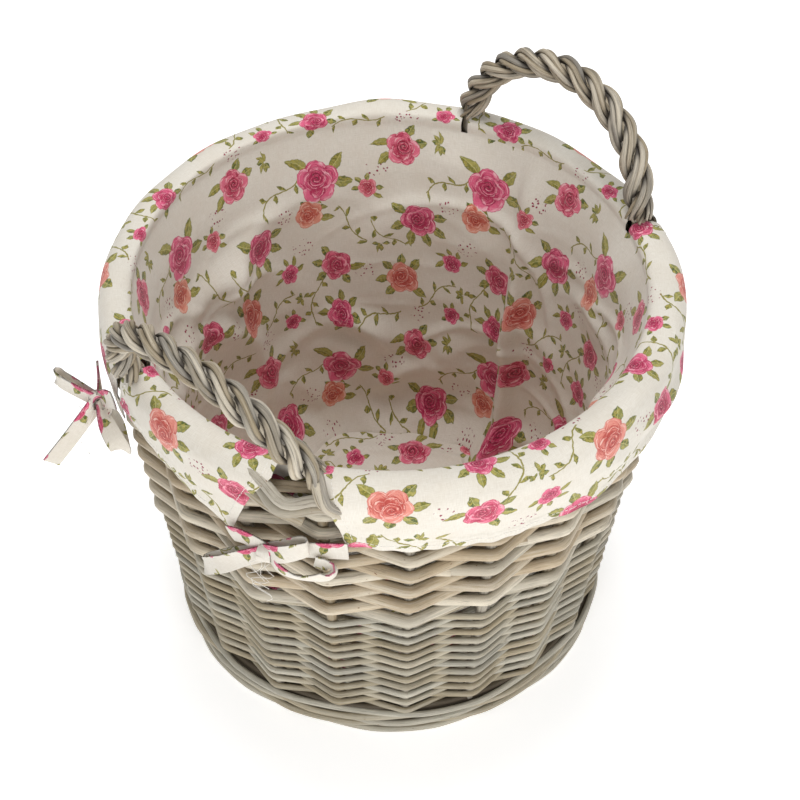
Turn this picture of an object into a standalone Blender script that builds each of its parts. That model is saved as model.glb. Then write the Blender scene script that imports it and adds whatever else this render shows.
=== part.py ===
"""A round, cotton-lined willow basket with two rope-twist handles.

The frame's origin is the centre of the foot's underside, +Z is up, and +X runs through the right handle.
Metres. Every piece is its own closed solid in its own object.
"""

import math

import bmesh
import bpy
from mathutils import Matrix, Vector

GAP = 0.0003
CHANNEL_GAP = 0.0008

# Wall: the circle of upright stakes widens steadily from the foot to the rim.
STAKE_COUNT = 20
STAKE_PITCH = math.tau / STAKE_COUNT
STAKE_PHASE = math.radians(7.5)
STAKE_ROD = 0.0040
WALL_RADIUS = 0.1495
WALL_SLOPE = 0.1417
WALL_BEND_Z = 0.0210

# Base: five crossed sticks with the weave packed round them.
STICK_END_RADIUS = 0.1390
STICK_ROD = 0.0042
PIERCED_ROD = 0.0050
SHAVED_ROD = 0.0026
BASE_Z = 0.0100
BASE_WEAVE_INNER = 0.0300
BASE_WEAVE_OUTER = 0.1395
BASE_WEAVE_LOW = 0.0030
BASE_WEAVE_HIGH = 0.0168

# Foot and side weave.
FOOT_HEIGHT = 0.0245
FINE_TOP = 0.1455
COARSE_TOP = 0.2841
FINE_ROWS = 6
COARSE_ROWS = 7
FINE_THICKNESS = 0.0046
COARSE_THICKNESS = 0.0080
WEAVE_FLAT = 0.0030
ROW_GAP = 0.0018

# Border: each stake turns down along the rim over two pitches.
BORDER_ROD = 0.0035

# Handles: a core bow whose legs go down into the wall, with three strands twisted round it.
HANDLE_HALF_ANGLE = math.radians(26.25)
LEG_ROD = 0.0055
LEG_INSET = 0.0045
LEG_LOW = 0.2078
ARCH_BASE_Z = 0.3000
ROPE_CLEARANCE = 0.0235
CORE_ROD = 0.0026
STRAND_ROD = 0.0042
STRAND_ORBIT = 0.0076
TWIST_PITCH = 0.060
STRANDS = 3

# Liner: a pocket inside, cuffs and tongues folded over the border, tied at the handle legs.
CLOTH = 0.0010
POCKET_LOW = 0.0268
POCKET_HIGH = 0.2976
FINE_INSET = 0.0102
COARSE_INSET = 0.0138
LEG_ZONE_INSET = 0.0192
LEG_CLEARANCE = math.radians(2.4)
TONGUE_SLOT = math.radians(16.0)
TAPE_WIDTH = 0.0130
TAPE_THICKNESS = 0.0030

# Each handle's bow: the angle of its middle, its height, how full its curve is (2 for an ellipse), how
# far its first and last foot and its top stand out from the wall, and its skew outward and sideways.
HANDLES = {
    "left": {
        "middle": math.radians(182.75),
        "height": 0.0840,
        "fullness": 2.37,
        "feet_out": (0.0200, 0.0190),
        "top_out": 0.0120,
        "skew_out": -0.0150,
        "skew_along": -0.0088,
    },
    "right": {
        "middle": math.radians(-5.25),
        "height": 0.0829,
        "fullness": 1.97,
        "feet_out": (-0.0060, 0.0060),
        "top_out": 0.0190,
        "skew_out": 0.0120,
        "skew_along": 0.0033,
    },
}

COLOURS = {
    "stake": ((0.40, 0.35, 0.28), 0.70),
    "fine_willow": ((0.47, 0.42, 0.34), 0.68),
    "coarse_willow": ((0.55, 0.50, 0.42), 0.65),
    "base_willow": ((0.38, 0.33, 0.26), 0.75),
    "handle_willow": ((0.36, 0.33, 0.27), 0.72),
    "printed_cotton": ((0.74, 0.69, 0.62), 0.92),
}


def clear_scene():
    for obj in list(bpy.data.objects):
        bpy.data.objects.remove(obj, do_unlink=True)


def make_collection(name):
    collection = bpy.data.collections.new(name)
    bpy.context.scene.collection.children.link(collection)
    return collection


def material(name):
    """A new Principled material for one part, in the finish of that name."""
    colour, roughness = COLOURS[name]
    made = bpy.data.materials.new(name)
    made.use_nodes = True
    shader = made.node_tree.nodes["Principled BSDF"]
    shader.inputs["Base Color"].default_value = (*colour, 1.0)
    shader.inputs["Roughness"].default_value = roughness
    shader.inputs["Metallic"].default_value = 0.0
    return made


clear_scene()
PARTS = make_collection("sewing_basket")
CUTTERS = make_collection("cutters")
CUTTERS.hide_render = True
ROOT = bpy.data.objects.new("basket_root", None)
PARTS.objects.link(ROOT)


def add_part(name, data, finish):
    obj = bpy.data.objects.new(name, data)
    obj.parent = ROOT
    obj.data.materials.append(material(finish))
    PARTS.objects.link(obj)
    return obj


def wall(z):
    """Radius of the circle of stakes at a height."""
    return WALL_RADIUS + WALL_SLOPE * z


def polar(angle, radius, z):
    return Vector((radius * math.cos(angle), radius * math.sin(angle), z))


def rod_curve(name, points, rod, scales=None, resolution=1):
    """A round rod through the points, with closed ends. Scales vary its radius point by point."""
    curve = bpy.data.curves.new(name, "CURVE")
    curve.dimensions = "3D"
    curve.bevel_depth = rod
    curve.bevel_resolution = resolution
    curve.use_fill_caps = True
    spline = curve.splines.new("POLY")
    spline.points.add(len(points) - 1)
    for i, point in enumerate(points):
        spline.points[i].co = (*point, 1.0)
        spline.points[i].radius = scales[i] if scales else 1.0
    return curve


def as_mesh(curve, name):
    """The rod's curve as a welded mesh, so that it can be cut or cut another piece."""
    holder = bpy.data.objects.new(name, curve)
    PARTS.objects.link(holder)
    graph = bpy.context.evaluated_depsgraph_get()
    mesh = bpy.data.meshes.new_from_object(holder.evaluated_get(graph))
    bpy.data.objects.remove(holder, do_unlink=True)
    shape = bmesh.new()
    shape.from_mesh(mesh)
    bmesh.ops.remove_doubles(shape, verts=shape.verts, dist=1e-6)
    bmesh.ops.recalc_face_normals(shape, faces=shape.faces)
    shape.to_mesh(mesh)
    shape.free()
    return mesh


def add_cutter(name, mesh):
    cutter = bpy.data.objects.new(name, mesh)
    cutter.hide_render = True
    cutter.display_type = "WIRE"
    CUTTERS.objects.link(cutter)
    return cutter


def cut(obj, cutter):
    boolean = obj.modifiers.new("cut", "BOOLEAN")
    boolean.operation = "DIFFERENCE"
    boolean.object = cutter


def turned(name, profile, finish, steps=48):
    """A closed profile, given as (radius, height) pairs, turned round the axis."""
    mesh = bpy.data.meshes.new(name)
    shape = bmesh.new()
    corners = [shape.verts.new((radius, 0.0, z)) for radius, z in profile]
    for i, corner in enumerate(corners):
        shape.edges.new((corner, corners[(i + 1) % len(corners)]))
    shape.to_mesh(mesh)
    shape.free()
    obj = add_part(name, mesh, finish)
    screw = obj.modifiers.new("turn", "SCREW")
    screw.steps = steps
    screw.render_steps = steps
    screw.use_smooth_shade = False
    screw.use_merge_vertices = True
    screw.merge_threshold = 0.00001
    return obj


# ---------------------------------------------------------------- base


def stick_paths():
    """The five sticks of the base cross: name, points, radius scales and whether it is pierced."""
    turn = Matrix.Rotation(STAKE_PHASE + STAKE_PITCH / 2, 3, "Z")
    cross, start_open, opened = 0.0106, 0.026, 0.060
    paths = []
    for i in (-1, 0, 1):
        away = math.radians(36.0 * i)
        half = [(start_open, cross * i), (opened * math.cos(away), opened * math.sin(away))]
        half.append((STICK_END_RADIUS * math.cos(away), STICK_END_RADIUS * math.sin(away)))
        flat = [(-x, y) for x, y in reversed(half)] + half
        points = [turn @ Vector((x, y, BASE_Z)) for x, y in flat]
        wide = PIERCED_ROD / STICK_ROD
        paths.append((f"base_stick_{i + 2}", points, [1.0, 1.0, wide, wide, 1.0, 1.0], True))
    for j in (-1, 1):
        away = math.radians(90.0 - 18.0 * j)
        half = [(0.0055 * j, start_open), (opened * math.cos(away), opened * math.sin(away))]
        half.append((STICK_END_RADIUS * math.cos(away), STICK_END_RADIUS * math.sin(away)))
        flat = [(x, -y) for x, y in reversed(half)] + half
        points = [turn @ Vector((x, y, BASE_Z)) for x, y in flat]
        thin = SHAVED_ROD / STICK_ROD
        paths.append((f"base_stick_{4 if j < 0 else 5}", points, [1.0, 1.0, thin, thin, 1.0, 1.0], False))
    return paths


def grown(scales, rod, growth):
    """Radius scales of a rod that is thicker all over by the growth."""
    return [(rod * scale + growth) / rod for scale in scales]


def add_base():
    """Crossed sticks, the three pierced ones slotted for the two that pass through them."""
    slots = []
    for name, points, scales, pierced in stick_paths():
        mesh = as_mesh(rod_curve(name, points, STICK_ROD, scales), name)
        stick = add_part(name, mesh, "base_willow")
        wider = grown(scales, STICK_ROD, CHANNEL_GAP)
        channel = rod_curve(name, points, STICK_ROD, wider, 2)
        cutter = add_cutter(name + "_channel", as_mesh(channel, name))
        slots.append((stick, cutter, pierced))
    for stick, _, pierced in slots:
        if pierced:
            for _, through, other_pierced in slots:
                if not other_pierced:
                    cut(stick, through)
    outline = [
        (BASE_WEAVE_INNER, BASE_WEAVE_LOW),
        (BASE_WEAVE_INNER, BASE_WEAVE_HIGH),
        (BASE_WEAVE_OUTER, BASE_WEAVE_HIGH),
        (BASE_WEAVE_OUTER, BASE_WEAVE_LOW),
    ]
    weave = turned("base_weave", outline, "base_willow", 32)
    for _, cutter, _ in slots:
        long_enough = 1.0 + 0.004 / STICK_END_RADIUS
        cutter.scale = (long_enough, long_enough, 1.0)
        cut(weave, cutter)
    for number in range(STAKE_COUNT):
        foot = stake_foot(number)[:3]
        foot[0] = foot[0] + (foot[0] - foot[1]).normalized() * 0.001
        name = f"stake_channel_{number + 1:02d}"
        cut(weave, add_cutter(name, as_mesh(rod_curve(name, foot, STAKE_ROD + CHANNEL_GAP), name)))


def add_foot():
    """The foot wale outside the stakes, which the basket stands on, and the wale inside them."""
    under = wall(FOOT_HEIGHT) + STAKE_ROD + 0.0007
    foot = [
        (0.1425, 0.0),
        (0.1425, 0.0055),
        (0.1500, 0.0055),
        (under, 0.0088),
        (under, FOOT_HEIGHT),
        (under + 0.0056, FOOT_HEIGHT),
        (0.1588, 0.0),
    ]
    turned("foot_wale", foot, "coarse_willow")
    inside = [(0.1310, 0.0172), (0.1310, FOOT_HEIGHT), (0.1455, FOOT_HEIGHT), (0.1455, 0.0172)]
    turned("inner_wale", inside, "base_willow", 40)


# ---------------------------------------------------------------- wall


def stake_angle(number):
    return STAKE_PHASE + number * STAKE_PITCH


def stake_foot(number):
    """The stake's end in the base, beside a stick, and its turn upward. Stakes stand in pairs."""
    angle = stake_angle(number)
    toward_stick = 1 if number % 2 == 0 else -1
    return [
        polar(angle + toward_stick * math.radians(4.3), 0.1120, BASE_Z),
        polar(angle + toward_stick * math.radians(2.3), 0.1300, BASE_Z),
        polar(angle, 0.1430, BASE_Z + 0.0005),
        polar(angle, 0.1492, 0.0135),
        polar(angle, wall(WALL_BEND_Z) - 0.0002, WALL_BEND_Z),
    ]


def add_stakes():
    """Upright stakes. Each leans out over its neighbour's rod at the rim, and runs down beside it."""
    border = [
        (0.0, 0.0, 0.2925),
        (0.2, 0.0, 0.2985),
        (0.8, 0.0010, 0.3035),
        (3.5, 0.0080, 0.3050),
        (8.0, 0.0085, 0.3035),
        (13.0, 0.0085, 0.3003),
        (18.0, 0.0085, 0.2972),
        (24.0, 0.0092, 0.2945),
        (30.0, 0.0100, 0.2915),
        (35.5, 0.0105, 0.2887),
    ]
    for number in range(STAKE_COUNT):
        angle = stake_angle(number)
        points = stake_foot(number)
        points.append(polar(angle, wall(COARSE_TOP), COARSE_TOP))
        upright = len(points)
        for turn, outward, z in border:
            points.append(polar(angle + math.radians(turn), wall(z) + outward, z))
        scales = [1.0] * upright + [BORDER_ROD / STAKE_ROD] * len(border)
        name = f"stake_{number + 1:02d}"
        add_part(name, rod_curve(name, points, STAKE_ROD, scales), "stake")


def uprights(z_high):
    """Groups of uprights that a row passes on one side: a stake, with a handle leg where one is beside it.

    Each group is its angles, and the farthest its rods reach inward and outward of the circle of stakes.
    """
    legs = []
    if z_high > LEG_LOW:
        for side in HANDLES:
            legs += leg_angles(side)
    groups = []
    for number in range(STAKE_COUNT):
        angles = [stake_angle(number)]
        inward = STAKE_ROD
        for leg in legs:
            apart = math.remainder(leg - angles[0], math.tau)
            if abs(apart) < STAKE_PITCH / 2:
                angles.append(angles[0] + apart)
                inward = LEG_INSET + LEG_ROD
        groups.append((sorted(angles), inward, STAKE_ROD))
    return groups


def add_row(name, low, high, thickness, parity, finish):
    """One group of weaving rows: a ribbon that passes in front of one stake and behind the next."""
    shape = bmesh.new()
    lower, upper = [], []
    half = thickness / 2
    for number, (angles, inward, outward) in enumerate(uprights(high)):
        in_front = (number + parity) % 2 == 0
        offset = outward + GAP + half if in_front else -(inward + GAP + half)
        for angle in (angles[0] - WEAVE_FLAT / wall(low), angles[-1] + WEAVE_FLAT / wall(low)):
            lower.append(shape.verts.new(polar(angle, wall(low) + offset, low)))
            upper.append(shape.verts.new(polar(angle, wall(high) + offset, high)))
    for i in range(len(lower)):
        j = (i + 1) % len(lower)
        shape.faces.new((lower[i], lower[j], upper[j], upper[i]))
    mesh = bpy.data.meshes.new(name)
    shape.to_mesh(mesh)
    shape.free()
    ribbon = add_part(name, mesh, finish)
    solid = ribbon.modifiers.new("thickness", "SOLIDIFY")
    solid.thickness = thickness
    solid.offset = 0.0
    solid.use_even_offset = True


def add_rows(prefix, low, high, count, thickness, finish):
    pitch = (high - low) / count
    for number in range(count):
        bottom = low + number * pitch
        name = f"{prefix}_{number + 1}"
        add_row(name, bottom + ROW_GAP, bottom + pitch, thickness, number, finish)


# ---------------------------------------------------------------- handles


def leg_angles(side):
    middle = HANDLES[side]["middle"]
    return middle - HANDLE_HALF_ANGLE, middle + HANDLE_HALF_ANGLE


def arch(side):
    """The handle's middle line as a function of 0 to 1, and the normal of the bow's upright plane."""
    bow = HANDLES[side]
    outward = polar(bow["middle"], 1.0, 0.0)
    along = polar(bow["middle"] + math.pi / 2, 1.0, 0.0)
    leg_radius = wall(ARCH_BASE_Z) - LEG_INSET
    half_width = leg_radius * math.sin(HANDLE_HALF_ANGLE)
    centre = polar(bow["middle"], leg_radius * math.cos(HANDLE_HALF_ANGLE), ARCH_BASE_Z)
    first_out, last_out = bow["feet_out"]

    def point(share):
        angle = math.pi * share
        height = math.sin(angle)
        flat = math.copysign(abs(math.cos(angle)) ** (2 / bow["fullness"]), -math.cos(angle))
        tall = max(height, 0.0) ** (2 / bow["fullness"])
        out = (first_out * (1 - share) + last_out * share) * height
        out += tall * (bow["top_out"] + bow["skew_out"] * (1 - 2 * share))
        level = centre + along * (half_width * flat + bow["skew_along"] * tall) + outward * out
        return level + Vector((0.0, 0.0, bow["height"] * tall))

    return point, outward


def evenly(point, count, first, last):
    """Points at even distances along the arch, between two shares of its length."""
    fine = [point(i / 400) for i in range(401)]
    reach = [0.0]
    for before, after in zip(fine, fine[1:]):
        reach.append(reach[-1] + (after - before).length)
    spots = []
    for i in range(count):
        target = reach[-1] * (first + (last - first) * i / (count - 1))
        j = next(k for k in range(1, 401) if reach[k] >= target - 1e-9)
        share = (target - reach[j - 1]) / (reach[j] - reach[j - 1])
        spots.append(fine[j - 1].lerp(fine[j], share))
    return spots, reach[-1] * (last - first)


def add_handle(side):
    """The bow with its two legs, and strands twisted round the part that stands clear of the cloth."""
    point, normal = arch(side)
    spots, _ = evenly(point, 23, 0.0, 1.0)
    leg_radius = wall(LEG_LOW) - LEG_INSET
    first, last = (polar(angle, leg_radius, LEG_LOW) for angle in leg_angles(side))
    core = [first] + spots + [last]
    thick = LEG_ROD / CORE_ROD
    scales = [thick, thick] + [1.0] * (len(spots) - 2) + [thick, thick]
    name = f"{side}_handle_core"
    add_part(name, rod_curve(name, core, CORE_ROD, scales, 2), "handle_willow")
    steps = 33
    fine, _ = evenly(point, 401, 0.0, 1.0)
    clear = [i / 400 for i, spot in enumerate(fine) if spot.z > ARCH_BASE_Z + ROPE_CLEARANCE]
    spots, length = evenly(point, steps, clear[0], clear[-1])
    for strand in range(STRANDS):
        path = []
        for i, spot in enumerate(spots):
            along = (spots[min(i + 1, steps - 1)] - spots[max(i - 1, 0)]).normalized()
            outward = along.cross(normal).normalized()
            across = outward.cross(along)
            turn = -math.tau * (length / TWIST_PITCH * i / (steps - 1) + strand / STRANDS)
            path.append(spot + (outward * math.cos(turn) + across * math.sin(turn)) * STRAND_ORBIT)
        name = f"{side}_handle_strand_{strand + 1}"
        add_part(name, rod_curve(name, path, STRAND_ROD), "handle_willow")


# ---------------------------------------------------------------- liner


def cloth_shell(name, profile, start, end, finish="printed_cotton"):
    """A shell of cloth: a profile of (radius, height) pairs swept between two angles, and thickened."""
    shape = bmesh.new()
    corners = [shape.verts.new(polar(start, radius, z)) for radius, z in profile]
    edges = [shape.edges.new(pair) for pair in zip(corners, corners[1:])]
    steps = max(2, round((end - start) / math.radians(9)))
    bmesh.ops.spin(
        shape, geom=corners + edges, axis=(0, 0, 1), cent=(0, 0, 0), angle=end - start, steps=steps
    )
    bmesh.ops.remove_doubles(shape, verts=shape.verts, dist=1e-6)
    bmesh.ops.recalc_face_normals(shape, faces=shape.faces)
    mesh = bpy.data.meshes.new(name)
    shape.to_mesh(mesh)
    shape.free()
    obj = add_part(name, mesh, finish)
    solid = obj.modifiers.new("cloth", "SOLIDIFY")
    solid.thickness = CLOTH
    solid.offset = 0.0
    solid.use_even_offset = True


def add_pocket():
    """The gathered pocket: a flat floor and a side panel that widens to the rim."""
    side = [
        (POCKET_HIGH, LEG_ZONE_INSET),
        (LEG_LOW - 0.006, LEG_ZONE_INSET),
        (LEG_LOW - 0.018, COARSE_INSET),
        (FINE_TOP + 0.004, COARSE_INSET),
        (FINE_TOP - 0.008, FINE_INSET),
        (POCKET_LOW + 0.005, FINE_INSET),
    ]
    profile = [(wall(z) - inset, z) for z, inset in side]
    profile += [(wall(POCKET_LOW) - FINE_INSET - 0.005, POCKET_LOW), (0.0, POCKET_LOW)]
    cloth_shell("liner_pocket", profile, 0.0, math.tau)


def add_cuffs():
    """Cuffs at the front and back, and a tongue under each handle, folded over the border."""
    fold = [
        (0.1728, POCKET_HIGH + 0.0009),
        (0.1745, 0.3055),
        (0.1810, 0.3098),
        (0.2012, 0.3108),
        (0.2072, 0.3062),
        (0.2078, 0.2975),
        (0.2068, 0.2860),
        (0.1990, 0.2400),
    ]
    left_back, left_front = leg_angles("left")
    right_front, right_back = leg_angles("right")
    turn = math.tau
    cloth_shell("liner_front_cuff", fold, left_front + LEG_CLEARANCE, right_front + turn - LEG_CLEARANCE)
    cloth_shell("liner_back_cuff", fold, right_back + LEG_CLEARANCE, left_back - LEG_CLEARANCE)
    cloth_shell("liner_left_tongue", fold, left_back + LEG_CLEARANCE, left_front - TONGUE_SLOT)
    cloth_shell("liner_right_tongue", fold, right_front + LEG_CLEARANCE, right_back - LEG_CLEARANCE)


def add_tie(name, path):
    """A tie bow as a plain bent strip, as deep as the tape is wide. Path: (angle, radius, height)."""
    shape = bmesh.new()
    half = Vector((0.0, 0.0, TAPE_WIDTH / 2))
    lower = [shape.verts.new(polar(*place) - half) for place in path]
    upper = [shape.verts.new(polar(*place) + half) for place in path]
    for i in range(len(path) - 1):
        shape.faces.new((lower[i], lower[i + 1], upper[i + 1], upper[i]))
    mesh = bpy.data.meshes.new(name)
    shape.to_mesh(mesh)
    shape.free()
    obj = add_part(name, mesh, "printed_cotton")
    solid = obj.modifiers.new("tape", "SOLIDIFY")
    solid.thickness = TAPE_THICKNESS
    solid.offset = 0.0


def add_ties():
    """Four tie bows where the liner is slit for the handle legs: three lie on the wall, one hangs free."""
    left_back, left_front = leg_angles("left")
    right_front, right_back = leg_angles("right")
    for name, leg, reach in (
        ("tie_bow_left_front", left_front, -27.0),
        ("tie_bow_right_front", right_front, 24.0),
        ("tie_bow_right_back", right_back, -22.0),
    ):
        steps = 6
        path = []
        for i in range(steps + 1):
            share = i / steps
            z = 0.206 + 0.036 * share
            path.append((leg + math.radians(reach * (1.0 - 0.92 * share)), wall(z) + 0.0195, z))
        add_tie(name, path)
    hanging = ((-9.0, 0.2350, 0.286), (-5.0, 0.2150, 0.266), (-8.0, 0.2200, 0.232))
    path = [(left_back + math.radians(turn), radius, z) for turn, radius, z in hanging]
    add_tie("tie_bow_left_back", path)


add_base()
add_foot()
add_stakes()
add_rows("fine_rows", FOOT_HEIGHT, FINE_TOP, FINE_ROWS, FINE_THICKNESS, "fine_willow")
add_rows("coarse_rows", FINE_TOP, COARSE_TOP, COARSE_ROWS, COARSE_THICKNESS, "coarse_willow")
for handle_side in HANDLES:
    add_handle(handle_side)
add_pocket()
add_cuffs()
add_ties()
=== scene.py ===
"""The looks of a lined willow basket: single rods, rope handles, printed cotton liner and its ties."""

from math import asin, atan2, cos, hypot, pi, radians, sin, tau

import bpy
import numpy as np
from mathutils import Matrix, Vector


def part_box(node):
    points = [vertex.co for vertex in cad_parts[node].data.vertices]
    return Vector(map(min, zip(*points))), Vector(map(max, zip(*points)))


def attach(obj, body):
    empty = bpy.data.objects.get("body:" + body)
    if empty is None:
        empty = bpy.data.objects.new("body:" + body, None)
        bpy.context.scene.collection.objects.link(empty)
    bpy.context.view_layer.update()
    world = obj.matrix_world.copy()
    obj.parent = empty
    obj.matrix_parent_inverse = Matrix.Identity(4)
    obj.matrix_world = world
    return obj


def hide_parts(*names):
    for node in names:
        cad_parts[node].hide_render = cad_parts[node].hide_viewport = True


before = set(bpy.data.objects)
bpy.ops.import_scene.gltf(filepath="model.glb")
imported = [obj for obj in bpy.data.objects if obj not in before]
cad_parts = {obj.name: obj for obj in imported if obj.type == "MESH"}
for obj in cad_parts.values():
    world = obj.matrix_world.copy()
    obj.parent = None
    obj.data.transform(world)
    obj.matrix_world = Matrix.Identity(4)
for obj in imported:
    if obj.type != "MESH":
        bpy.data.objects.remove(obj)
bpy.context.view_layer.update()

# ---------------- sizes, in metres

STAKES = 20
PITCH = tau / STAKES
PHASE = radians(7.5)
STAKE_ROD = 0.004
FINE_ROD = 0.0023
COARSE_ROD = 0.0041
FOOT_ROD = 0.0026
WALL_SLOPE = 0.1417
FOOT_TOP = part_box("foot_wale")[1][2]
FINE_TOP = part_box("fine_rows_6")[1][2]
COARSE_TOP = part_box("coarse_rows_7")[1][2]
WALL_RADIUS = 0.1495

HALF_LEG = radians(26.25)
LEG_INSET = 0.0045
LEG_LOW = 0.2078
ARCH_BASE = 0.3
# Each handle's bow: the angle of its middle, its height, how full its curve is (2 for an ellipse), how
# far its first and last foot and its top stand out from the wall, its skew outward and sideways, and
# the shares of its length where the rope starts and stops.
HANDLES = {
    "left": {"middle": radians(182.75), "height": 0.084, "fullness": 2.37, "feet_out": (0.0245, 0.0215),
             "top_out": 0.015, "skew_out": -0.0162, "skew_along": -0.0088, "rope": (0.03, 0.905)},
    "right": {"middle": radians(-5.25), "height": 0.0829, "fullness": 1.97, "feet_out": (-0.008, 0.006),
              "top_out": 0.0166, "skew_out": 0.014, "skew_along": 0.0033, "rope": (0.03, 0.97)},
}
CORE_ROD = 0.0027
ROPE_ROD = 0.0019
ROPE_LAY = 0.06
STRAND_OUT = 0.0062
STRAND_SPREAD = 0.0031

CLOTH = 0.0009
TAPE = 0.0013
TAPE_WIDTH = 0.0135
KNOT_WIDTH = 0.01
STITCH = 0.0022
STITCH_PITCH = 0.0034
RANDOM = np.random.default_rng(7)


def wall(z):
    """Radius of the circle of stakes at a height."""
    return WALL_RADIUS + WALL_SLOPE * z


def polar(angle, radius, z):
    """Points from angles, radii and heights, which may be arrays."""
    angle, radius, z = np.broadcast_arrays(angle, radius, z)
    return np.stack([radius * np.cos(angle), radius * np.sin(angle), z], axis=-1).astype(float)


def between(angle, other):
    """The angle from another one, from minus to plus half a turn."""
    return np.remainder(angle - other + pi, tau) - pi


def legs(side):
    middle = HANDLES[side]["middle"]
    return middle - HALF_LEG, middle + HALF_LEG


def unit(vectors):
    return vectors / np.linalg.norm(vectors, axis=-1, keepdims=True)


def travelled(line):
    """The distance along a line to each of its points."""
    return np.concatenate([[0], np.cumsum(np.linalg.norm(np.diff(line, axis=0), axis=1))])


def spots_at(where, reach, line):
    """The points of a line where its reach, which grows along it, has the given values."""
    return np.stack([np.interp(where, reach, column) for column in line.T], axis=1)


def smooth_path(points, count):
    """A Catmull-Rom curve through the points, sampled at even distances."""
    points = np.asarray(points, float)
    ends = np.vstack([2 * points[0] - points[1], points, 2 * points[-1] - points[-2]])
    t = np.linspace(0, 1, 24, endpoint=False)[:, None]
    fine = []
    for i in range(1, len(ends) - 2):
        a, b, c, d = ends[i - 1 : i + 3]
        fine.append(0.5 * (2 * b + (c - a) * t + (2 * a - 5 * b + 4 * c - d) * t**2
                           + (3 * b - a - 3 * c + d) * t**3))
    fine = np.vstack(fine + [points[-1:]])
    reach = travelled(fine)
    return spots_at(np.linspace(0, reach[-1], count), reach, fine)


def hump(distance, width):
    """1 at no distance, fading smoothly to 0 at about twice the width."""
    return np.exp(-((distance / width) ** 2))


def wobble(count, size, steps):
    """A smooth random series of the given size, with about that many samples to a swing."""
    knots = RANDOM.normal(0, size, max(3, int(count / steps) + 3))
    return np.interp(np.linspace(0, len(knots) - 1, count), range(len(knots)), knots)


# ---------------- material formulas


class Wire:
    """A number, vector or colour inside a material. Arithmetic on it adds nodes."""

    def __init__(self, shade, socket):
        self.shade = shade
        self.socket = socket


for sign, operation in (("add", "ADD"), ("sub", "SUBTRACT"), ("mul", "MULTIPLY"), ("truediv", "DIVIDE")):
    setattr(Wire, f"__{sign}__", lambda a, b, step=operation: a.shade.math(step, a, b))
    setattr(Wire, f"__r{sign}__", lambda a, b, step=operation: a.shade.math(step, b, a))


class Shade:
    """A material written as formulas."""

    def __init__(self, name):
        self.material = bpy.data.materials.new(name)
        self.material.use_nodes = True
        self.tree = self.material.node_tree
        self.shader = self.tree.nodes["Principled BSDF"]

    def node(self, kind, inputs, output=0, **settings):
        made = self.tree.nodes.new(kind)
        for key, value in settings.items():
            setattr(made, key, value)
        self.feed(made, inputs)
        return Wire(self, made.outputs[output])

    def math(self, operation, *values):
        return self.node("ShaderNodeMath", dict(enumerate(values)), operation=operation)

    def vector(self, operation, *values, output=0):
        return self.node("ShaderNodeVectorMath", dict(enumerate(values)), output, operation=operation)

    def scale(self, vector, factor):
        return self.node("ShaderNodeVectorMath", {0: vector, "Scale": factor}, operation="SCALE")

    def parts(self, vector):
        made = self.tree.nodes.new("ShaderNodeSeparateXYZ")
        self.tree.links.new(vector.socket, made.inputs[0])
        return [Wire(self, made.outputs[i]) for i in range(3)]

    def join(self, x, y, z=0.0):
        return self.node("ShaderNodeCombineXYZ", {0: x, 1: y, 2: z})

    def step(self, low, high, value):
        """0 below low, 1 above high, smooth between. High may be below low."""
        return self.node("ShaderNodeMapRange", {0: value, 1: low, 2: high},
                         interpolation_type="SMOOTHSTEP")

    def mix(self, factor, a, b, blend="MIX"):
        return self.node("ShaderNodeMix", {0: factor, 6: rgba(a), 7: rgba(b)}, 2,
                         data_type="RGBA", blend_type=blend)

    def mix_vector(self, factor, a, b):
        return self.node("ShaderNodeMix", {0: factor, 4: a, 5: b}, 1, data_type="VECTOR")

    def within(self, value):
        """The value held between 0 and 1."""
        return self.math("MAXIMUM", self.math("MINIMUM", value, 1.0), 0.0)

    def noise(self, vector, scale, detail=2.0, roughness=0.5):
        return self.node("ShaderNodeTexNoise",
                         {"Vector": vector, "Scale": scale, "Detail": detail, "Roughness": roughness})

    def chance(self, vector, output=0):
        """A random number, or with output 1 a random vector, for each whole value of a vector."""
        return self.node("ShaderNodeTexWhiteNoise", {"Vector": vector}, output)

    def attribute(self, name, output=1):
        return self.node("ShaderNodeAttribute", {}, output, attribute_name=name)

    def bump(self, height, distance, strength):
        return self.node("ShaderNodeBump",
                         {"Height": height, "Distance": distance, "Strength": strength})

    def feed(self, node, inputs):
        """Gives a node its inputs, each a wire or a plain value."""
        for key, value in inputs.items():
            if isinstance(value, Wire):
                self.tree.links.new(value.socket, node.inputs[key])
            else:
                node.inputs[key].default_value = value

    def finish(self, colour, roughness, normal=None, sheen=0.0):
        given = {"Base Color": colour, "Roughness": roughness, "Specular IOR Level": 0.3}
        if normal:
            given["Normal"] = normal
        if sheen:
            given.update({"Sheen Weight": sheen, "Sheen Roughness": 0.6})
        self.feed(self.shader, given)
        return self.material


def rgba(colour):
    return colour if isinstance(colour, Wire) else (*colour, 1.0)


# ---------------- willow


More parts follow.
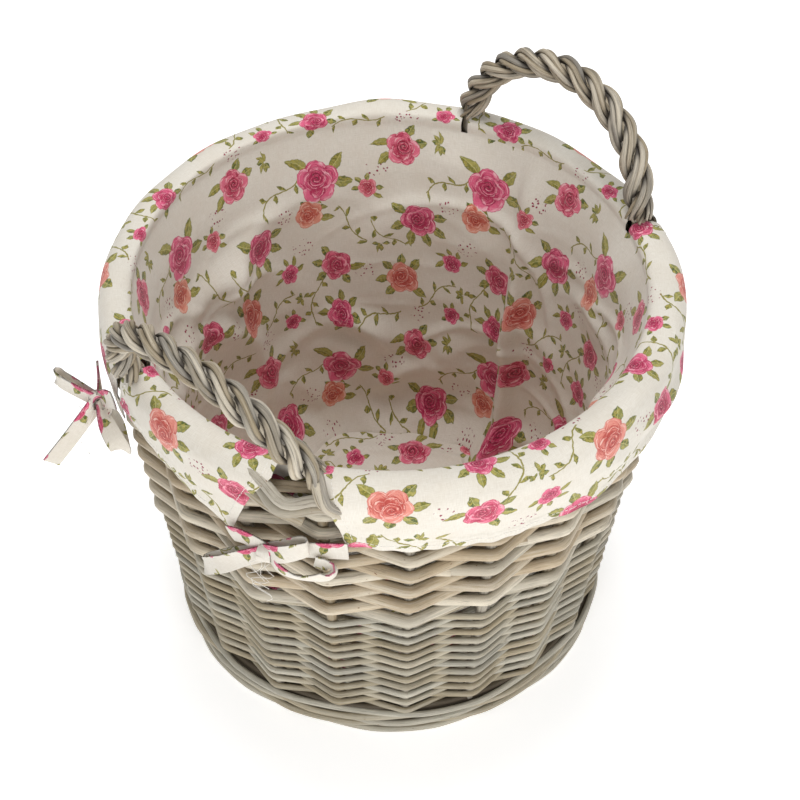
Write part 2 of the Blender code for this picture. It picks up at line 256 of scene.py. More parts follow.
def willow(name, pale, tan, grey, dark, wash):
    """Washed willow: tan and grey rods with chalky streaks and brown knots, and painted shade that darkens
    crevices and undersides and thins the chalky wash there, so open sides are painted paler.
    """
    s = Shade(name)
    along, around, tint = s.parts(s.attribute("rod"))
    # Painted shade, the rod attribute's fourth number, from 0 to 1.
    painted_shade = s.attribute("rod", 3)
    streaks = s.noise(s.join(along * 26.0, around * 6.0, tint * 31.0), 1.0, 4.0, 0.68)
    fibres = s.noise(s.join(along * 90.0, around * 22.0, tint * 53.0), 1.0, 2.0, 0.6)
    patches = s.noise(s.join(along * 9.0, around * 0.7, tint * 57.0), 1.0, 2.0)
    luck = s.chance(s.join(tint * 977.0, 1.0))
    colour = s.mix(s.step(0.3, 0.7, patches + (luck - 0.5) * 0.7), tan, grey)
    # Chalky wash in streaks, thinned by the painted shade, so the open sides are painted paler.
    chalk_and_painted_light = s.step(0.36, 0.66, streaks + (tint - 0.5) * 0.25) * (1.0 - painted_shade * 0.8) * wash
    colour = s.mix(chalk_and_painted_light, colour, pale)
    colour = s.mix(s.step(0.44, 0.28, streaks) * 0.5, colour, dark)
    colour = s.mix(s.step(0.42, 0.3, fibres) * 0.35, colour, dark)
    knots = s.noise(s.join(along * 240.0, around * 7.0, tint * 91.0), 1.0, 1.0)
    colour = s.mix(s.step(0.755, 0.8, knots) * 0.85, colour, (0.17, 0.065, 0.018))
    # Painted shade: rods facing down or inward, deep in the rope or behind a stake are darkened.
    colour = s.mix(s.step(0.35, 0.95, painted_shade) * 0.88, colour, dark)
    light = luck * 0.34 + 0.8
    colour = s.mix(1.0, colour, s.join(light, light, light), "MULTIPLY")
    height = streaks + fibres * 0.5 + knots * 0.6
    return s.finish(colour, s.step(0.2, 0.8, streaks) * 0.22 + 0.46, s.bump(height, 0.0007, 0.55))


WILLOWS = {
    look: willow(f"{look}_willow_look", *colours)
    for look, colours in {
        "stake": ((0.54, 0.5, 0.41), (0.38, 0.3, 0.19), (0.32, 0.29, 0.24), (0.055, 0.038, 0.024), 0.6),
        "fine": ((0.6, 0.56, 0.46), (0.43, 0.36, 0.24), (0.36, 0.34, 0.28), (0.07, 0.052, 0.034), 0.6),
        "coarse": ((0.72, 0.65, 0.52), (0.52, 0.41, 0.27), (0.44, 0.4, 0.32), (0.08, 0.055, 0.034), 0.8),
        "base": ((0.48, 0.44, 0.36), (0.34, 0.27, 0.18), (0.3, 0.28, 0.24), (0.06, 0.045, 0.03), 0.5),
        "handle": ((0.64, 0.57, 0.45), (0.36, 0.29, 0.19), (0.23, 0.21, 0.18), (0.03, 0.024, 0.019), 0.75),
    }.items()
}


# ---------------- printed cotton

TILE = (0.128, 0.152)
LEAVES_ONLY = 2.0
# Each rose: place in the tile, radius, turn, and hue from crimson (0) to coral (1).
ROSES = (
    (0.026, 0.118, 0.0148, 0.3, 0.0),
    (0.036, 0.095, 0.0108, 2.5, 1.0),
    (0.09, 0.136, 0.0114, -0.6, 0.15),
    (0.081, 0.086, 0.0132, 1.3, 0.0),
    (0.02, 0.05, 0.0112, -2.1, 0.1),
    (0.098, 0.036, 0.012, 0.8, 0.85),
    (0.06, 0.012, 0.0064, 1.9, 0.0),
    (0.118, 0.108, 0.0068, -1.2, 0.3),
    (0.058, 0.053, 0.0072, 2.8, 0.0),
    (0.022, 0.012, 0.0098, -1.7, 0.0),
    (0.062, 0.142, 0.0062, 0.7, LEAVES_ONLY),
    (0.112, 0.066, 0.0066, -0.4, LEAVES_ONLY),
    (0.05, 0.03, 0.0058, 2.2, LEAVES_ONLY),
)
# Each sprig: place and turn.
SPRIGS = ((0.058, 0.116, 0.5), (0.108, 0.074, 2.3), (0.004, 0.08, -0.9), (0.072, 0.026, -2.6),
          (0.04, 0.024, 1.3), (0.12, 0.006, 0.2))
BERRIES = ((0.056, 0.1), (0.11, 0.122), (0.044, 0.07), (0.126, 0.044), (0.086, 0.008))


def nearest(s, place, spots):
    """The offset from the nearest spot of a repeating tile, and that spot's three facts.

    A spot is (x, y, size, fact, fact). Distance counts in sizes, so a large spot reaches farther.
    """
    half = (TILE[0] / 2, TILE[1] / 2, 1.0)
    best = None
    for x, y, *facts in spots:
        offset = s.vector("WRAP", s.vector("SUBTRACT", place, (x, y, 0.0)), half,
                          tuple(-side for side in half))
        reach = s.vector("LENGTH", offset, output=1) / facts[0]
        if best is None:
            best = (reach, offset, tuple(facts))
            continue
        nearer = s.math("LESS_THAN", reach, best[0])
        best = (s.math("MINIMUM", reach, best[0]), s.mix_vector(nearer, best[1], offset),
                s.mix_vector(nearer, best[2], tuple(facts)))
    return best[1], best[2]


def turned(s, offset, angle):
    return s.node("ShaderNodeVectorRotate", {"Vector": offset, "Angle": angle}, rotation_type="Z_AXIS")


def leaf_inks(s, across, strokes, luck=0.5):
    """Leaf green to ochre, lighter on one side of the vein."""
    green = s.mix(luck, (0.075, 0.105, 0.02), (0.18, 0.17, 0.026))
    colour = s.mix(s.step(0.42, 0.62, strokes), green, (0.34, 0.29, 0.06))
    return s.mix(s.step(-0.06, 0.1, across) * 0.4, colour, (0.42, 0.39, 0.12))


def sectors(s, reach, angle, count, turn):
    """Even sectors round a middle: distance out and across in each, and its number."""
    sector = tau / count
    spread = angle + turn
    folded = s.math("WRAP", spread, sector / 2, -sector / 2)
    number = s.math("WRAP", s.math("ROUND", spread / sector), count - 0.5, -0.5)
    return reach * s.math("COSINE", folded), reach * s.math("SINE", folded), number


def leaf_print(s, reach, angle, turn, strokes, first, ground):
    """Pointed leaves in some of eight directions. First is how far out they start."""
    out, across, number = sectors(s, reach, angle, 8, turn)
    luck = s.chance(s.join(number, turn * 10.0))
    out = out - first
    across = across + out * out * (luck - 0.6) * 0.9
    length = luck * 0.55 + 0.72
    width = s.math("SINE", s.within(out / length) * pi) * 0.3
    outline = width - s.math("ABSOLUTE", across) + (strokes - 0.5) * 0.12
    leaf = s.step(0.0, 0.04, outline) * s.math("GREATER_THAN", luck, 0.4)
    colour = leaf_inks(s, across, strokes, s.step(0.5, 0.9, luck))
    vein = s.step(0.03, 0.012, s.math("ABSOLUTE", across)) * 0.55
    colour = s.mix(vein, colour, (0.55, 0.52, 0.22))
    colour = s.mix(s.step(0.07, 0.02, outline) * 0.6, colour, (0.055, 0.085, 0.018))
    return s.mix(leaf, ground, colour)


def petal_ring(s, reach, angle, count, turn, distance, size):
    """A ring of round petals: how far, out and across from a petal's middle, in its sizes, and its luck."""
    out, across, number = sectors(s, reach, angle, count, turn)
    out = (out - distance) / size
    across = across / size
    far = s.math("SQRT", out * out + across * across)
    return far, out, across, s.chance(s.join(number, turn * 10.0, 3.0))


def petal_inks(s, tone, rim, streak, hue):
    """Petal colour from its dark foot to its pale lip, brushed along in strokes."""
    dark = s.mix(hue, (0.12, 0.004, 0.02), (0.28, 0.02, 0.018))
    middle = s.mix(hue, (0.4, 0.014, 0.072), (0.5, 0.085, 0.055))
    light = s.mix(hue, (0.69, 0.11, 0.22), (0.69, 0.27, 0.19))
    lip = s.mix(hue, (0.86, 0.56, 0.6), (0.84, 0.62, 0.52))
    brushed = tone + (streak - 0.5) * 1.5
    colour = s.mix(s.step(0.02, 0.42, brushed), dark, middle)
    colour = s.mix(s.step(0.48, 0.88, brushed), colour, light)
    return s.mix(rim * s.step(0.46, 0.66, streak) * 0.8, colour, lip)


def rose_print(s, place, ground):
    """Roses of two rings of round petals and a curled cup, with leaves behind them."""
    offset, facts = nearest(s, place, ROSES)
    size, turn, hue = s.parts(facts)
    strokes = s.noise(place, 430.0, 2.0)
    local = s.vector("DIVIDE", turned(s, offset, turn), s.join(size, size, size))
    x, y, _ = s.parts(local)
    reach = s.vector("LENGTH", local, output=1)
    angle = s.math("ARCTAN2", y, x)
    bare = s.math("GREATER_THAN", hue, 1.5)
    cloth = leaf_print(s, reach, angle, turn, strokes, 0.72 - bare * 0.66, ground)
    flower = 1.0 - bare
    wavy = reach + (strokes - 0.5) * 0.07 + s.math("SINE", angle * 3.0 + turn * 5.0) * 0.05
    for count, shift, distance, radius, base in ((5, 0.0, 0.5, 0.56, 0.3), (4, 0.5, 0.27, 0.46, 0.16)):
        far, out, across, luck = petal_ring(s, wavy, angle, count, turn * 2.0 + shift, distance, radius)
        streak = s.noise(s.join(far * 7.0, across * 1.6, luck * 20.0 + turn), 1.0, 3.0, 0.6)
        tone = s.step(-0.75, 0.95, out) * 0.62 + base + (luck - 0.5) * 0.3
        rim = s.step(0.62, 0.8, far) * s.step(0.99, 0.92, far)
        petal = petal_inks(s, tone, rim, streak, hue)
        edge = s.mix(hue, (0.2, 0.008, 0.035), (0.36, 0.05, 0.03))
        petal = s.mix(s.step(0.93, 1.0, far) * 0.55, petal, edge)
        covered = s.math("MAXIMUM", s.step(1.02, 0.98, far), s.math("LESS_THAN", wavy, distance))
        cloth = s.mix(covered * flower, cloth, petal)
    cup_y = y - 0.13
    cup = s.math("SQRT", x * x * 0.86 + cup_y * cup_y) / 0.44
    round_cup = s.math("ARCTAN2", cup_y, x)
    curl = s.noise(s.join(x * 2.4, y * 2.4, turn), 1.0, 2.0)
    shade = s.math("FRACT", cup * 2.4 + round_cup / tau + curl * 0.7)
    streak = s.noise(s.join(shade * 3.0, round_cup * 1.4, turn), 1.0, 3.0, 0.6)
    tone = shade * 0.66 + s.step(0.0, 0.9, cup) * 0.16
    rim = s.math("MAXIMUM", s.step(0.7, 0.9, shade), s.step(0.86, 0.95, cup))
    petal = petal_inks(s, tone, rim * 0.8, streak, hue)
    return s.mix(s.step(1.02, 0.96, cup) * flower, cloth, petal)


def sprig_print(s, place, ground):
    """Thin curving stems with small leaves on alternate sides."""
    offset, facts = nearest(s, place, [(x, y, 1.0, turn, 0.0) for x, y, turn in SPRIGS])
    _, turn, _ = s.parts(facts)
    x, y, _ = s.parts(turned(s, offset, turn))
    strokes = s.noise(place, 500.0, 1.0)
    bent = y - s.math("SINE", x * 150.0 + turn) * 0.0034
    within = s.step(0.019, 0.018, s.math("ABSOLUTE", x))
    stem = s.step(0.00062, 0.00034, s.math("ABSOLUTE", bent)) * within
    gap = 0.008
    number = s.math("ROUND", x / gap)
    side = s.math("PINGPONG", number, 1.0) * 2.0 - 1.0
    from_node = x - number * gap
    up = bent * side
    slant_x = from_node * 0.6 + up * 0.8
    slant_y = from_node * 0.8 - up * 0.6
    width = s.math("SINE", s.within(slant_x / 0.0088) * pi) * 0.0019
    leaf = s.step(0.0, 0.0004, width - s.math("ABSOLUTE", slant_y)) * within
    inked = s.mix(stem, ground, (0.26, 0.23, 0.05))
    return s.mix(leaf, inked, leaf_inks(s, slant_y * 120.0, strokes))


def berry_print(s, place, ground):
    """Loose sprays of small dark berries."""
    offset, _ = nearest(s, place, [(x, y, 1.0, 0.0, 0.0) for x, y in BERRIES])
    cell = 0.0031
    grid = s.vector("DIVIDE", place, (cell, cell, cell))
    corner = s.vector("FLOOR", grid)
    jitter = s.vector("SUBTRACT", s.chance(corner, 1), (0.5, 0.5, 0.5))
    from_middle = s.vector("SUBTRACT", s.vector("SUBTRACT", grid, corner), (0.5, 0.5, 0.0))
    x, y, _ = s.parts(s.vector("ADD", from_middle, s.scale(jitter, 0.7)))
    across, up, _ = s.parts(offset)
    spray = s.step(0.0092, 0.0076, s.math("SQRT", across * across + up * up * 1.8))
    chosen = s.math("GREATER_THAN", s.chance(s.vector("ADD", corner, (7.0, 3.0, 0.0))), 0.42)
    dot = s.step(0.27, 0.2, s.math("SQRT", x * x + y * y)) * spray * chosen
    return s.mix(dot, ground, (0.24, 0.01, 0.045))


def printed_cotton(name):
    """Flecked natural cotton in plain weave, printed with roses. Its coordinates are metres of cloth."""
    s = Shade(name)
    flat = s.attribute("cloth")
    drift = s.vector("SUBTRACT", s.node("ShaderNodeTexNoise", {"Vector": flat, "Scale": 260.0}, 1),
                     (0.5, 0.5, 0.5))
    place = s.vector("ADD", s.scale(flat, 0.87), s.scale(drift, 0.0018))
    across, up, _ = s.parts(flat)
    ground = (0.665, 0.62, 0.54)
    weft = s.noise(s.join(across * 160.0, up * 2600.0), 1.0, 1.0)
    warp = s.noise(s.join(across * 2600.0, up * 160.0), 1.0, 1.0)
    threads = weft + warp
    cloth = s.mix(s.step(0.8, 1.25, threads) * 0.75, ground, (0.755, 0.72, 0.65))
    fleck = s.noise(s.join(across * 420.0, up * 1500.0), 1.0, 2.0)
    cloth = s.mix(s.step(0.66, 0.78, fleck) * 0.5, cloth, (0.44, 0.37, 0.29))
    cloth = s.mix(s.step(0.4, 0.66, s.noise(flat, 28.0, 2.0)) * 0.25, cloth, (0.64, 0.57, 0.47))
    bare = cloth
    cloth = sprig_print(s, place, cloth)
    cloth = berry_print(s, place, cloth)
    cloth = rose_print(s, place, cloth)
    cloth = s.mix(s.step(1.12, 1.34, threads) * 0.35, cloth, bare)
    creases = s.noise(flat, 60.0, 3.0, 0.6)
    height = threads * 0.2 + creases * 2.4
    return s.finish(cloth, 0.88, s.bump(height, 0.0008, 0.4), sheen=0.15)


def plain(name, colour, roughness):
    """A thread or edge: one colour broken by fine fibres."""
    s = Shade(name)
    place = s.node("ShaderNodeTexCoord", {}, 3)
    fibres = s.noise(place, 900.0, 2.0)
    return s.finish(s.mix(fibres, tuple(c * 0.82 for c in colour), colour), roughness,
                    s.bump(fibres, 0.0002, 0.4))


COTTON = printed_cotton("rose_cotton_look")
THREAD = plain("thread_look", (0.86, 0.83, 0.77), 0.8)


# ---------------- meshes


def place_in_scene(name, data):
    obj = bpy.data.objects.new(name, data)
    bpy.context.scene.collection.objects.link(obj)
    return obj


def make_piece(name, points, faces, attribute, values, material, nodes=(), normals=None):
    """A mesh object that rides on the basket. Values are four numbers for each point, for its material."""
    mesh = bpy.data.meshes.new(name)
    mesh.from_pydata(points.tolist(), [], faces)
    mesh.attributes.new(attribute, "FLOAT_COLOR", "POINT").data.foreach_set("color", values.ravel())
    mesh.materials.append(material)
    mesh.shade_smooth()
    if normals is not None:
        mesh.normals_split_custom_set_from_vertices(normals.tolist())
    obj = place_in_scene(name, mesh)
    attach(obj, "root")
    if nodes:
        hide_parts(*nodes)
    return obj


class Rods:
    """Collects rods, each a tube along its own path, into one piece."""

    def __init__(self, sides=10):
        self.sides = sides
        self.points = []
        self.faces = []
        self.values = []

    def add(self, path, radius, painted_shade=None, closed=False):
        """One rod. Its radius is a number or one for each point of the path.

        Painted shade gives, from the surface's points and normals, how much shade the willow look paints at
        each, from 0 to 1.
        """
        path = np.asarray(path, float)
        total, sides = len(path), self.sides
        radius = np.broadcast_to(radius, total)
        along = np.gradient(path, axis=0)
        if closed:
            along = np.roll(path, -1, axis=0) - np.roll(path, 1, axis=0)
        along = unit(along)
        side = np.cross(along[0], (0.31, 0.17, 0.93))
        carried = np.empty_like(path)
        for i in range(total):
            side = unit(side - along[i] * side.dot(along[i]))
            carried[i] = side
        other = np.cross(along, carried)
        turn = np.broadcast_to(np.arange(sides) / sides * tau, (total, sides))
        if closed:
            lost = atan2(carried[-1].dot(other[0]), carried[-1].dot(carried[0]))
            turn = turn - np.linspace(0, lost, total)[:, None]
        normal = np.cos(turn)[..., None] * carried[:, None] + np.sin(turn)[..., None] * other[:, None]
        ring = path[:, None] + normal * radius[:, None, None]
        tint = RANDOM.random()
        values = np.empty((total, sides, 4))
        values[..., 0] = travelled(path)[:, None] + tint * 3.0
        values[..., 1] = np.abs(np.arange(sides) / sides * 2 - 1)[None]
        values[..., 2] = tint
        # The fourth number is painted shade for the willow look.
        values[..., 3] = 0.0 if painted_shade is None else painted_shade(ring, normal)
        index = sum(map(len, self.points)) + np.arange(total * sides).reshape(total, sides)
        after = np.roll(index, -1, axis=0)
        beside = np.roll(index, -1, axis=1)
        around = np.stack([index, beside, np.roll(after, -1, axis=1), after], axis=-1)
        self.faces += around[: total if closed else total - 1].reshape(-1, 4).tolist()
        if not closed:
            self.faces += [index[0][::-1].tolist(), index[-1].tolist()]
        self.points.append(ring.reshape(-1, 3))
        self.values.append(values.reshape(-1, 4))

    def make(self, name, look, slot, nodes=()):
        """The piece, in one of the willow looks or, with the look "thread", in cotton thread."""
        return make_piece(name, np.vstack(self.points), self.faces, "rod", np.vstack(self.values),
                          WILLOWS.get(look, THREAD), nodes)


def outside(ring, normal):
    """Painted shade on a wall rod: darker where it faces down or into the basket, or lies behind a stake.
    """
    out = unit(ring * (1, 1, 0))
    facing = (normal * out).sum(axis=-1) * 0.75 + normal[..., 2] * 0.55
    depth = np.minimum(np.linalg.norm(ring[..., :2], axis=-1) - wall(ring[..., 2]), 0.01)
    return np.clip(0.54 - 0.5 * facing - depth * 26, 0, 1)


def knotty(count, rod):
    """A rod's radius along its length: tapering, uneven, with a few swollen knots."""
    share = np.linspace(0, 1, count)
    taper = 0.12 * (0.5 - np.abs(share - RANDOM.random()))
    radius = rod * (1 + taper) * (1 + wobble(count, 0.02, 12))
    for knot in RANDOM.random(max(1, count // 60)):
        radius = radius * (1 + 0.1 * hump((share - knot) * count, 2.2))
    return radius


# ---------------- base and foot


def add_base():
    """Crossed sticks opened out like spokes, and pairs of rods woven round them."""
    axis = PHASE + PITCH / 2
    level = 0.01
    sticks = Rods()

    def stick(shift, away, through, radius):
        """A stick that far off the middle, whose ends open out to an angle from the pierced sticks."""
        spread = [(share * cos(away), share * sin(away)) for share in (0.06, 0.139)]
        near = [(shift, far) if through else (far, shift) for far in (0.004, 0.026)]
        half = near + spread
        mirror = (1, -1) if through else (-1, 1)
        flat = [(x * mirror[0], y * mirror[1]) for x, y in half[::-1]] + half
        path = [polar(atan2(y, x) + axis, hypot(x, y), level) for x, y in flat]
        sticks.add(smooth_path(path, 40), radius)

    for i in (-1, 0, 1):
        stick(0.0106 * i, radians(36 * i), False, 0.0044)
    waist = hump(np.linspace(-1, 1, 40), 0.22)
    for j in (-1, 1):
        stick(0.0055 * j, radians(90 - 18 * j), True, 0.0042 - 0.0018 * waist)
    sticks.make("base_sticks", "base", "base_willow", [f"base_stick_{n}" for n in range(1, 6)])

    weave = Rods(8)
    rings = np.arange(0.0375, 0.1395, 0.005)
    angle = np.linspace(0, tau, 200, endpoint=False)
    for number, radius in enumerate(rings):
        for half in (0, 1):
            wave = np.cos(5 * (angle - axis) + pi * (number + half))
            z = level + 0.0058 * np.arcsin(0.95 * wave) / asin(0.95)
            weave.add(polar(angle, radius, z), 0.00225, closed=True)
    weave.make("base_weave_rods", "base", "base_willow", ["base_weave"])


def add_foot():
    """A wale of rods, each in front of two stakes and behind the third, and packing rods inside it."""
    foot = Rods(8)
    steps = 12 * STAKES
    angle = PHASE + np.linspace(0, tau, steps, endpoint=False)
    place = (angle - PHASE) / PITCH
    count = 5
    for number in range(count):
        z = FOOT_ROD + 0.0002 + (FOOT_TOP - 2 * FOOT_ROD - 0.0004) * number / (count - 1)
        turn = tau * (place + number * 1.33) / 3.0
        inner = 0 < number < count - 1
        radius = wall(z) + 0.0052 + 0.0026 * np.clip(0.45 + 0.9 * np.cos(turn), -1, 1)
        level = z + inner * 0.0016 * np.sin(turn)
        thick = FOOT_ROD * 0.98 * (1 + wobble(steps, 0.03, 12))
        foot.add(polar(angle, radius, level), thick, outside, True)
    # Packing rods inside the wale, with painted shade at full, so the willow look paints them almost dark.
    for inset, z in ((0.0062, 0.027), (0.0055, 0.0225), (-0.001, 0.0235), (-0.0035, 0.0195)):
        foot.add(polar(angle, wall(z) - inset, z), FOOT_ROD, lambda ring, _: 1.0, True)
    foot.make("foot_wale_rods", "fine", "coarse_willow", ["foot_wale"])
    inner = Rods(8)
    for radius, z in ((0.143, 0.02), (0.137, 0.0205), (0.1335, 0.0195)):
        inner.add(polar(angle, radius, z), 0.0023, closed=True)
    inner.make("inner_wale_rods", "base", "base_willow", ["inner_wale"])


# ---------------- wall


def near_leg(angle, width):
    """1 at a handle leg, fading to 0 that far from it."""
    near = np.zeros_like(angle)
    for side in HANDLES:
        for leg in legs(side):
            near = np.maximum(near, hump(between(angle, leg), width))
    return near


def add_rows(name, low, high, count, rod, look, slot, nodes):
    """Rows of plain weave: straight from the front of one stake to the back of the next.

    A row is two rods, whose ends lie behind a stake.
    """
    rods = Rods(8 if rod < 0.003 else 12)
    steps = 14
    for number in range(count):
        z = low + rod + (high - low - 2 * rod) * number / (count - 1)
        first = int(RANDOM.integers(0, STAKES // 2)) * 2 + (number + 1) % 2
        for half in range(2):
            stakes = first + half * STAKES // 2 + np.arange(-1, STAKES // 2 + 2)
            angle = PHASE + PITCH * stakes
            front = np.where((stakes + number) % 2 == 0, 1.0, -1.0)
            level = z + RANDOM.normal(0, 0.00035, len(stakes)) + 0.0008 * front * (rod > 0.003)
            out = STAKE_ROD + rod + 0.0001
            beside = near_leg(angle, radians(7.0)) * (level > LEG_LOW)
            depth = np.where(front > 0, out, -out - 0.0055 * beside)
            kinks = polar(angle, wall(level) + depth + RANDOM.normal(0, 0.0002, len(stakes)), level)
            share = np.linspace(0, len(stakes) - 1, steps * (len(stakes) - 1) + 1)
            path = spots_at(share, range(len(stakes)), kinks)
            path[1:-1] = path[:-2] * 0.25 + path[1:-1] * 0.5 + path[2:] * 0.25
            path = path[steps * 3 // 4 : -steps // 2]
            rods.add(path, knotty(len(path), rod), outside)
    rods.make(name, look, slot, nodes)


def rim_pull(angle):
    """How far the border and the cloth over it lie off a true circle, drawn in most at the back."""
    tongue = hump(between(angle, radians(-5)), radians(18))
    return -0.0048 - 0.0036 * np.cos(angle - radians(75)) - 0.004 * tongue


def slot_bulge(angle):
    """1 where the border rods bulge out of the gap between the left tongue and the front cuff."""
    return hump(between(angle, radians(200.5)), radians(5.0))


def add_stakes():
    """Stakes: each comes out of the base, stands, leans out at the rim and runs along the border."""
    border = ((0.0, 0.0, 0.2925), (0.3, 0.0006, 0.298), (1.2, 0.0026, 0.3016), (4.0, 0.008, 0.3032),
              (8.0, 0.0088, 0.3022), (13.0, 0.0088, 0.2992), (18.0, 0.0088, 0.296),
              (24.0, 0.0094, 0.293), (30.0, 0.0102, 0.2902), (37.0, 0.0106, 0.2872),
              (45.0, 0.0108, 0.2838), (52.0, 0.0112, 0.2806))
    for start in range(0, STAKES, 5):
        rods = Rods(10)
        for number in range(start, start + 5):
            angle = PHASE + number * PITCH
            toward = 1 if number % 2 == 0 else -1
            path = [polar(angle + toward * radians(4.3), 0.112, 0.01),
                    polar(angle + toward * radians(2.3), 0.13, 0.01),
                    polar(angle, 0.143, 0.0105), polar(angle, 0.1492, 0.0135),
                    polar(angle, wall(0.021), 0.021)]
            path += [polar(angle, wall(z), z) for z in (0.08, 0.15, 0.22, 0.284)]
            for turn, out, z in border:
                here = angle + radians(turn)
                bulge = slot_bulge(here)
                out += (rim_pull(here) - 0.0005) * min(1, turn / 4) + 0.012 * bulge
                path.append(polar(here, wall(z) + out, z - 0.005 * bulge))
            radius = np.interp(np.linspace(0, 1, 120), (0, 0.5, 0.6, 1), (1, 1, 1.02, 0.95)) * STAKE_ROD
            rods.add(smooth_path(path, 120), radius * (1 + wobble(120, 0.02, 9)), outside)
        rods.make(f"stakes_{start // 5 + 1}", "stake", "stake_willow",
                  [f"stake_{n:02d}" for n in range(start + 1, start + 6)])


# ---------------- handles


def arch(side, share):
    """A handle's middle line at shares of its length, its outward direction, and its length."""
    bow = HANDLES[side]
    outward = polar(bow["middle"], 1.0, 0.0)
    along = polar(bow["middle"] + pi / 2, 1.0, 0.0)
    radius = wall(ARCH_BASE) - LEG_INSET
    part = np.linspace(0, 1, 600)
    rise = np.sin(pi * part).clip(0)
    flat = np.sign(part - 0.5) * np.abs(np.cos(pi * part)) ** (2 / bow["fullness"])
    tall = rise ** (2 / bow["fullness"])
    feet = bow["feet_out"][0] * (1 - part) + bow["feet_out"][1] * part
    out = feet * rise**0.35 + tall * (bow["top_out"] + bow["skew_out"] * (1 - 2 * part))
    sideways = radius * sin(HALF_LEG) * flat + bow["skew_along"] * tall
    line = polar(bow["middle"], radius * cos(HALF_LEG), ARCH_BASE) + np.outer(sideways, along)
    line = line + np.outer(out, outward) + np.outer(bow["height"] * tall, (0, 0, 1))
    reach = travelled(line)
    return spots_at(share * reach[-1], reach, line), outward, reach[-1]


def add_handle(side):
    """A bow of stout rods with three bundles of thin rods twisted round it, ragged at their ends."""
    line, normal, length = arch(side, np.linspace(0, 1, 300))
    first, last = legs(side)

    def rope_painted_shade(ring, _):
        """Painted shade where a rod lies deep in the rope, near its middle line."""
        points = ring.reshape(-1, 3)
        apart = np.linalg.norm(points[:, None] - line[None, ::4], axis=2).min(axis=1)
        return np.interp(apart, (0.006, 0.0106), (1, 0)).reshape(ring.shape[:2])

    def frame_at(points):
        forward = unit(np.gradient(points, axis=0))
        beside = unit(np.cross(forward, normal))
        return forward, beside, np.cross(beside, forward)

    _, outward, across = frame_at(line)
    core = Rods(10)
    for number in range(4):
        turn = tau * number / 4 + 0.4
        shift = (outward * cos(turn) + across * sin(turn)) * 0.003
        foot, end = (polar(leg, wall(LEG_LOW) - LEG_INSET, LEG_LOW)[None] for leg in (first, last))
        bow = (line + shift)[::10]
        if side == "left":
            bow = bow[:-2]
            end = polar(last + np.radians([-1.5, 0.0, 1.5, 3.0]), (0.208, 0.205, 0.1985, 0.19),
                        (0.301, 0.292, 0.282, 0.26))
        path = np.vstack([foot + shift[0], bow, end + shift[-1]])
        core.add(smooth_path(path, 160), CORE_ROD)
    core.make(f"{side}_handle_bow", "handle", "handle_willow", [f"{side}_handle_core"])

    for strand in range(3):
        rods = Rods(8)
        for number in range(6):
            start, end = HANDLES[side]["rope"]
            start, end = start + 0.012 * RANDOM.random(), end - 0.02 * RANDOM.random()
            part = np.linspace(start, end, 250)
            place, _, _ = arch(side, part)
            forward, outward, across = frame_at(place)
            twist = -tau * (length / ROPE_LAY) * part
            turn = twist + tau * strand / 3
            middle = outward * np.cos(turn)[:, None] + across * np.sin(turn)[:, None]
            inner = 1.2 * twist + tau * number / 5 + strand
            cluster = STRAND_SPREAD if number < 5 else 0.0
            place = place + middle * (STRAND_OUT + cluster * np.cos(inner))[:, None]
            place = place + np.cross(forward, middle) * (cluster * 1.2 * np.sin(inner))[:, None]
            place += np.stack([wobble(250, 0.00025, 10) for _ in range(3)], axis=1)
            from_end = np.minimum(part - start, end - part) * length
            radius = ROPE_ROD * np.interp(from_end, (0, 0.012), (0.45, 1.0))
            radius = radius * (0.9 + 0.25 * RANDOM.random())
            rods.add(place, radius * (1 + wobble(250, 0.05, 12)), rope_painted_shade)
        rods.make(f"{side}_handle_bundle_{strand + 1}", "handle", "handle_willow",
                  [f"{side}_handle_strand_{strand + 1}"])


# ---------------- liner


def cloth_sheet(name, grid, flat, nodes=(), thickness=CLOTH, edge_rows=0):
    """Cloth of a real thickness, from a grid of points and their places on the flat cloth.

    Edge rows are extra first and last rows that only steer the normals, so that pieces meet smoothly.
    """
    normal = np.cross(np.gradient(grid, axis=0), np.gradient(grid, axis=1))
    normal /= np.linalg.norm(normal, axis=2, keepdims=True) + 1e-12
    if edge_rows:
        grid, flat, normal = (part[edge_rows:-edge_rows] for part in (grid, flat, normal))
    rows, columns = grid.shape[:2]
    index = np.arange(rows * columns).reshape(rows, columns)
    front = np.stack([index[:-1, :-1], index[:-1, 1:], index[1:, 1:], index[1:, :-1]], axis=-1)
    front = front.reshape(-1, 4)
    back = front[:, ::-1] + rows * columns
    border = np.concatenate([index[0, :-1], index[:-1, -1], index[-1, :0:-1], index[:0:-1, 0]])
    ahead = np.roll(border, -1)
    rim = np.stack([ahead, border, border + rows * columns, ahead + rows * columns], axis=-1)
    half = normal * thickness / 2
    values = np.zeros((2, rows, columns, 4))
    values[..., :2] = flat
    values[..., 3] = 1.0
    faces = np.concatenate([front, back, rim]).tolist()
    return make_piece(name, np.stack([grid - half, grid + half]).reshape(-1, 3), faces, "cloth", values,
                      COTTON, nodes, np.stack([-normal, normal]).reshape(-1, 3))


RIM_INSET = 0.0128
POCKET_TOP = 0.2985
POCKET_LOW = 0.029
PANEL_RADIUS = 0.19
SEAM = radians(4.0)
# From inside the rim, over the border and down outside: radius and height.
OVER = ((0.179, POCKET_TOP), (0.1801, 0.3038), (0.1842, 0.3076), (0.1925, 0.3092), (0.2008, 0.3084),
        (0.2062, 0.304), (0.208, 0.297), (0.2072, 0.288), (0.2045, 0.272), (0.2015, 0.258),
        (0.1992, 0.242), (0.1974, 0.228))
OVER_LINE = smooth_path(OVER, 240)
OVER_REACH = travelled(OVER_LINE)


def ridge_set(count, seed, size):
    """Random soft folds: middle angle, height, slant, length, width and depth of each."""
    luck = np.random.default_rng(seed)
    return [(luck.random() * tau, luck.random(), luck.normal(0, 0.5), 0.03 + 0.06 * luck.random(),
             size * (0.7 + luck.random()), luck.random()) for _ in range(count)]


